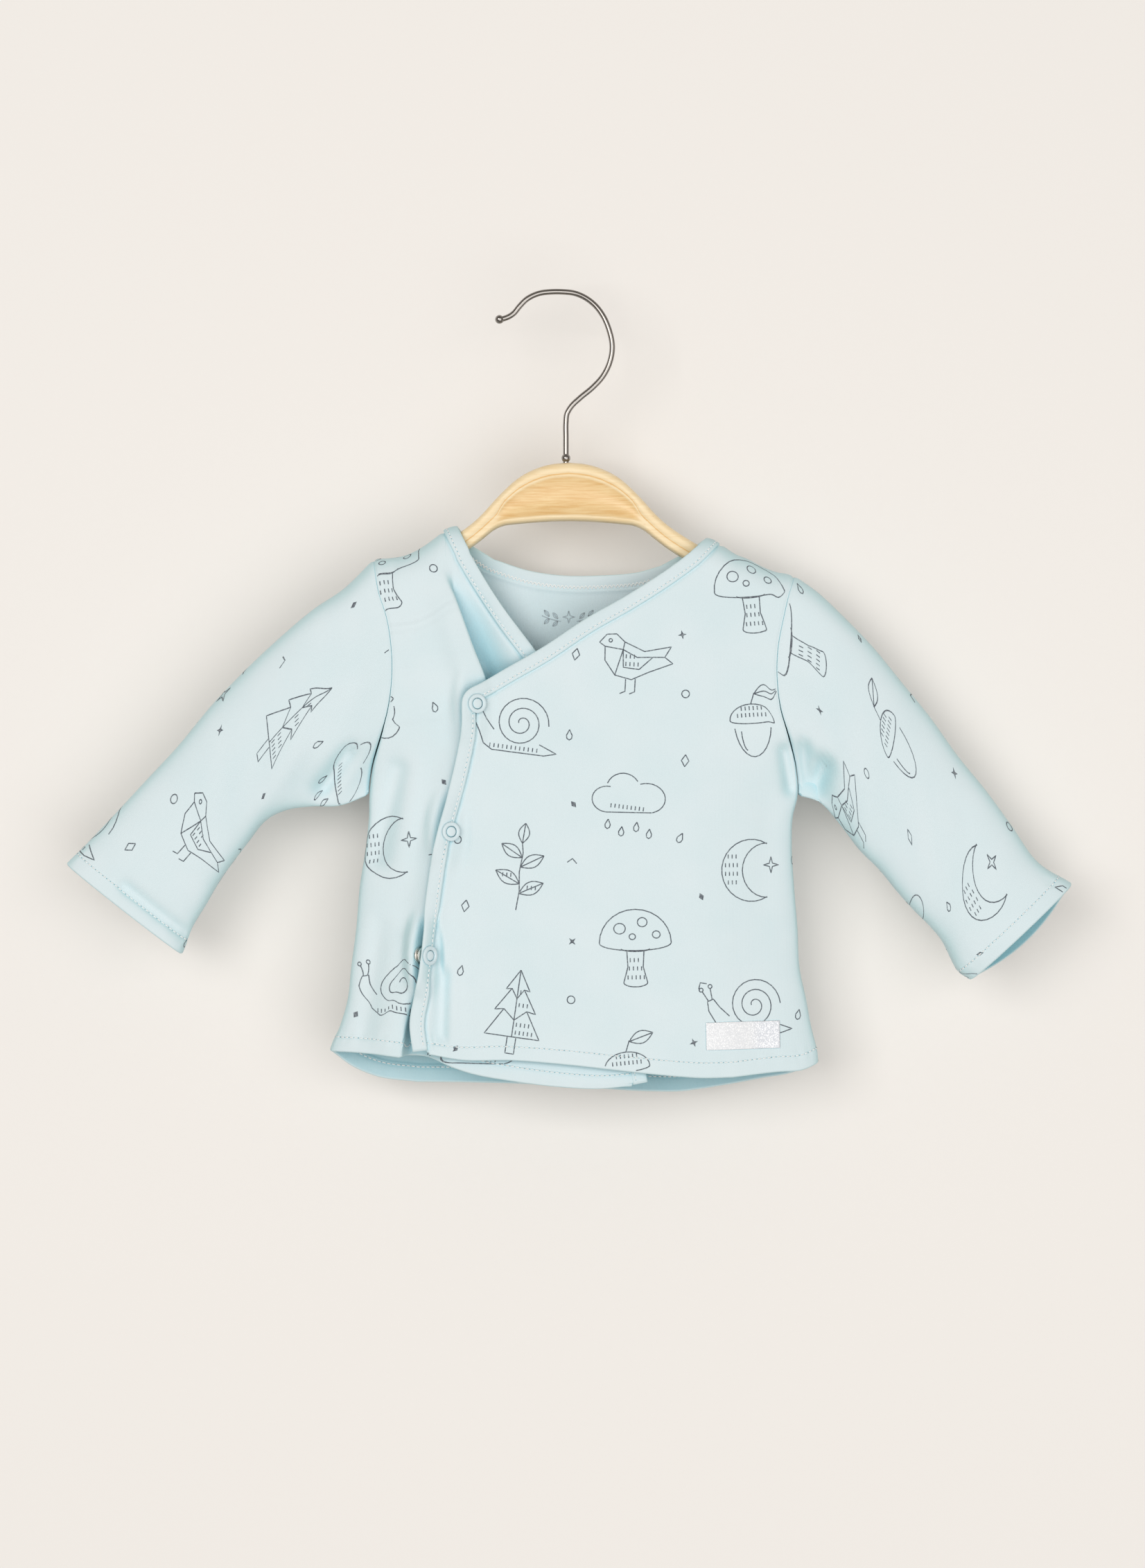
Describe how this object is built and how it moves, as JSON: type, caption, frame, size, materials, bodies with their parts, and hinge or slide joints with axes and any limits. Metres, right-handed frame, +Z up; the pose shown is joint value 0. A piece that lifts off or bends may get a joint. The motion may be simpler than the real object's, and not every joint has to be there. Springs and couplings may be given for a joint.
{
  "type": "baby wrap t-shirt on hanger",
  "caption": "Long-sleeved baby wrap t-shirt in thin jersey with bound edges and ring snaps, hanging hollow and open on a small wooden hanger with a wire hook.",
  "frame": {"origin": "underside of the hook's wire at its top, where a rod carries it", "axes": "+Z up, +X to the viewer's right along the shoulders (the wearer's left), the front faces -Y"},
  "size_m": [0.5065, 0.0455, 0.4061],
  "materials": {
    "jersey": "fine cotton jersey, pale blue, printed with small grey line motifs",
    "binding": "jersey binding cut from the same cloth, topstitched in near white",
    "snap_enamel": "enamelled ring snap cap",
    "snap_metal": "bare pressed metal",
    "woven_label": "woven satin with a silver thread, blank",
    "beech": "clear satin lacquer",
    "chrome": "polished wire"
  },
  "bodies": {
    "root": {"back": "jersey", "binding": "binding", "front_left_over": "jersey", "front_right_under": "jersey", "hanger": "beech", "hook": "chrome", "label": "woven_label", "sleeve_left": "jersey", "sleeve_right": "jersey", "snap_bottom_cap": "snap_enamel", "snap_bottom_socket": "snap_metal", "snap_bottom_stud": "snap_metal", "snap_middle_cap": "snap_enamel", "snap_middle_socket": "snap_metal", "snap_middle_stud": "snap_metal", "snap_top_cap": "snap_enamel", "snap_top_socket": "snap_metal", "snap_top_stud": "snap_metal"}
  },
  "joints": []
}
